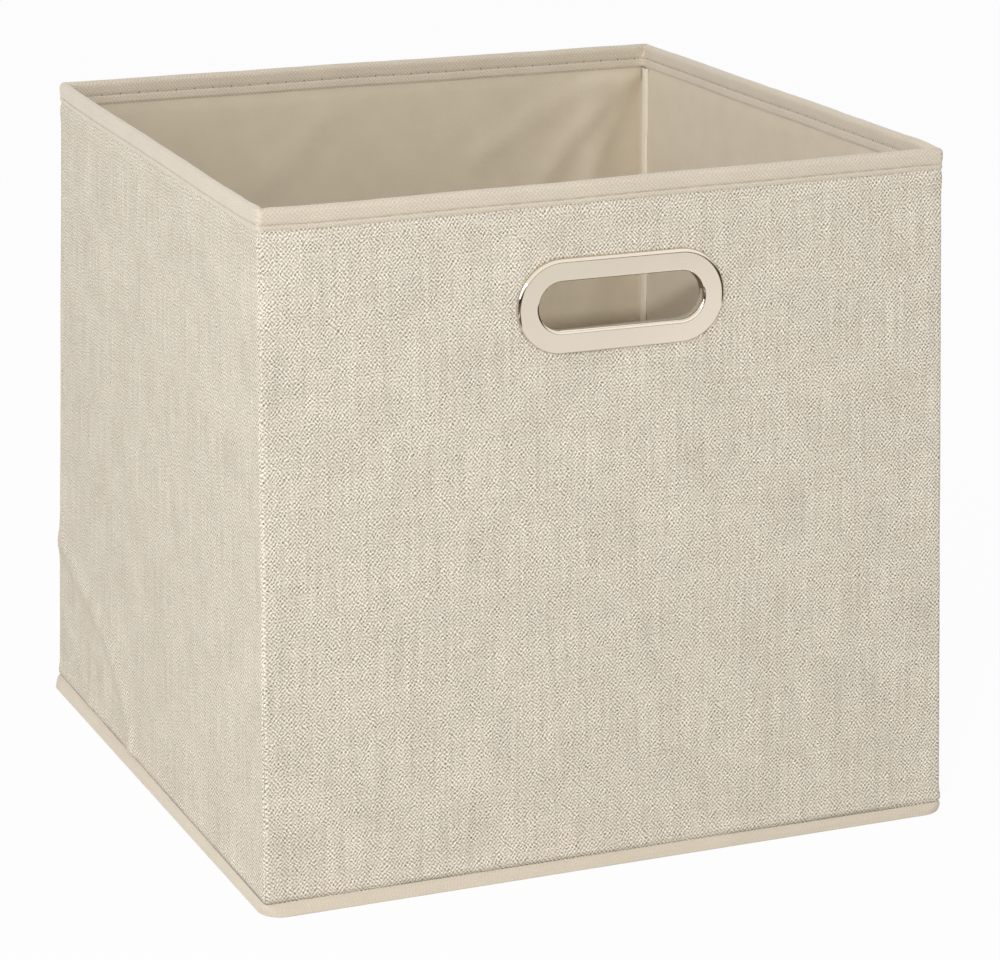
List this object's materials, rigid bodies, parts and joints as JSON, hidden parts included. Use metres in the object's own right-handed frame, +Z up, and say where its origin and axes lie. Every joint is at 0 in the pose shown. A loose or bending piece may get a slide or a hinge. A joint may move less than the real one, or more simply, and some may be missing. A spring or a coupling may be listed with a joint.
{
  "type": "fabric storage basket",
  "caption": "Open-top square storage basket with stiff cloth-covered walls, a bound rim and hem, an oval metal hand hole and a lift-out base board.",
  "frame": {"origin": "on the floor under the middle of the basket", "axes": "+Z up to the rim, the wall with the hand hole faces -Y, +X to the right as seen from that side"},
  "size_m": [0.3298, 0.3298, 0.3025],
  "materials": {
    "woven_cover": "matte linen-look woven cloth, natural beige",
    "lining_cloth": "matte embossed nonwoven cloth, darker beige",
    "binding_tape": "smooth nonwoven tape, warm beige",
    "greyboard": "solid pressed board",
    "polished_metal": "polished nickel plate"
  },
  "bodies": {
    "basket": {"front_cover": "woven_cover", "front_board": "greyboard", "front_lining": "lining_cloth", "back_cover": "woven_cover", "back_board": "greyboard", "back_lining": "lining_cloth", "left_cover": "woven_cover", "left_board": "greyboard", "left_lining": "lining_cloth", "right_cover": "woven_cover", "right_board": "greyboard", "right_lining": "lining_cloth", "front_left_seam_binding": "binding_tape", "front_right_seam_binding": "binding_tape", "back_right_seam_binding": "binding_tape", "back_left_seam_binding": "binding_tape", "rim_binding": "binding_tape", "bottom_binding": "binding_tape", "bottom_panel": "lining_cloth", "handle_ring": "polished_metal", "handle_washer": "polished_metal"},
    "base_insert": {"insert_board": "greyboard", "insert_top_cover": "lining_cloth", "insert_bottom_cover": "lining_cloth", "insert_edge_binding": "binding_tape"}
  },
  "joints": [
    {"name": "base_insert_lift", "type": "slide", "parent": "basket", "child": "base_insert", "axis": [0, 0, 1], "range_m": [0, 0.31]}
  ]
}
